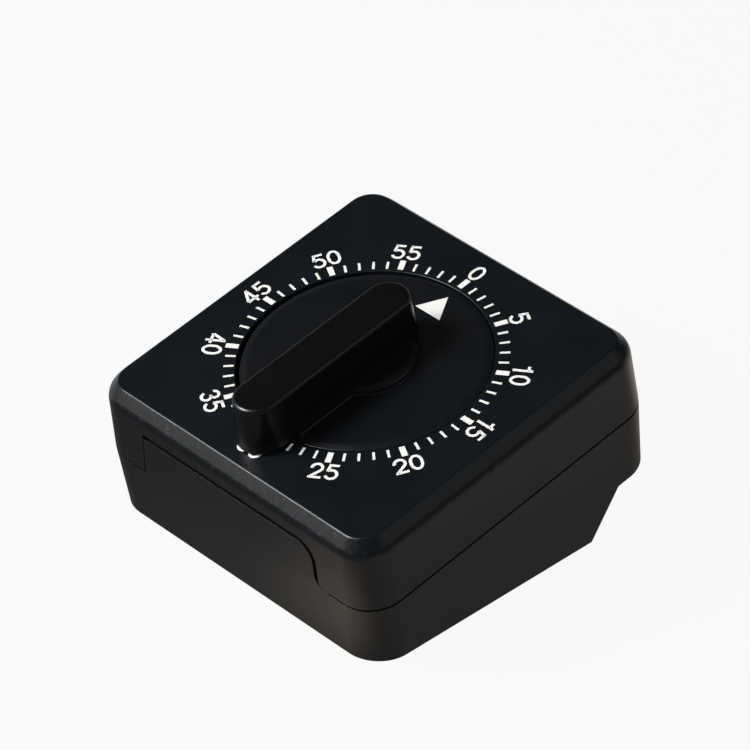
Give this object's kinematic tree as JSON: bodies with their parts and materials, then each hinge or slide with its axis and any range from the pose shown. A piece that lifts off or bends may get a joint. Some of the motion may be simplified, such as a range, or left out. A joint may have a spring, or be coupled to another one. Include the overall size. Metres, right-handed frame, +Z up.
{
  "type": "visual countdown timer",
  "caption": "Square black wind-up countdown timer: dial with minute marks, round knob with a tall bar handle, wedge base that leans the dial back, and a clockwork movement with a bell.",
  "frame": {"origin": "centre of the bounding box's footprint, on the plane that the base rests on", "axes": "+Z up from the rest plane, +Y towards the raised side with the zero mark, +X to the right as the dial is read"},
  "size_m": [0.0714, 0.0752, 0.0473],
  "materials": {
    "case_plastic": "fine moulded texture, satin black",
    "knob_plastic": "smooth moulded satin black",
    "movement_steel": "turned steel",
    "spring_steel": "blued spring strip and wire",
    "brass": "stamped, lightly grained",
    "zinc_screws": "zinc plated",
    "bell_steel": "nickel plated pressing"
  },
  "bodies": {
    "case": {"front_shell": "case_plastic", "rear_shell": "case_plastic", "case_screws": "zinc_screws", "front_plate": "brass", "back_plate": "brass", "pillars": "movement_steel", "plate_screws": "zinc_screws", "movement_screws": "zinc_screws", "mainspring": "spring_steel", "spring_post": "movement_steel", "bell": "bell_steel", "bell_post": "movement_steel", "bell_screw": "zinc_screws"},
    "dial_knob": {"knob": "knob_plastic", "knob_clip": "spring_steel", "main_arbor": "movement_steel", "clutch_spring": "spring_steel", "arbor_clip": "spring_steel", "alarm_cam": "brass"},
    "great_gear": {"great_wheel": "brass"},
    "second_gear": {"second_arbor": "movement_steel", "second_wheel": "brass"},
    "third_gear": {"third_arbor": "movement_steel", "third_wheel": "brass"},
    "escape_gear": {"escape_arbor": "movement_steel", "escape_wheel": "brass", "ring_star": "movement_steel"},
    "balance": {"anchor": "movement_steel", "anchor_arbor": "movement_steel", "balance_weight": "brass"},
    "striker": {"hammer": "movement_steel", "hammer_spring": "spring_steel"}
  },
  "joints": [
    {"name": "knob_turn", "type": "hinge", "parent": "case", "child": "dial_knob", "pos_m": [0, -0.0033, 0.03501], "axis": [0, -0.1994, 0.9799], "range_deg": [-360, 0], "stiffness_Nm_per_rad": 0.004, "springref_deg": 28.65},
    {"name": "third_wheel_turn", "type": "hinge", "parent": "case", "child": "third_gear", "pos_m": [-0.00389, -0.01695, 0.01998], "axis": [0, -0.1994, 0.9799], "continuous": true},
    {"name": "second_wheel_turn", "type": "hinge", "parent": "case", "child": "second_gear", "pos_m": [-0.01364, -0.01026, 0.02134], "axis": [0, -0.1994, 0.9799], "continuous": true},
    {"name": "great_wheel_turn", "type": "hinge", "parent": "case", "child": "great_gear", "pos_m": [0, -0.00091, 0.02325], "axis": [0, -0.1994, 0.9799], "continuous": true},
    {"name": "escape_wheel_turn", "type": "hinge", "parent": "case", "child": "escape_gear", "pos_m": [0.00565, -0.01695, 0.01998], "axis": [0, -0.1994, 0.9799], "continuous": true},
    {"name": "anchor_rock", "type": "hinge", "parent": "case", "child": "balance", "pos_m": [0.01267, -0.01213, 0.02096], "axis": [0, -0.1994, 0.9799], "range_deg": [-4.5, 4.5]},
    {"name": "hammer_strike", "type": "hinge", "parent": "case", "child": "striker", "pos_m": [0.01871, -0.00051, 0.02333], "axis": [0, -0.1994, 0.9799], "range_deg": [0, 5.2]}
  ],
  "couplings": [
    {"joint": "second_wheel_turn", "follows": "third_wheel_turn", "ratio": -0.13333},
    {"joint": "great_wheel_turn", "follows": "third_wheel_turn", "ratio": 0.016162},
    {"joint": "escape_wheel_turn", "follows": "third_wheel_turn", "ratio": -8}
  ]
}
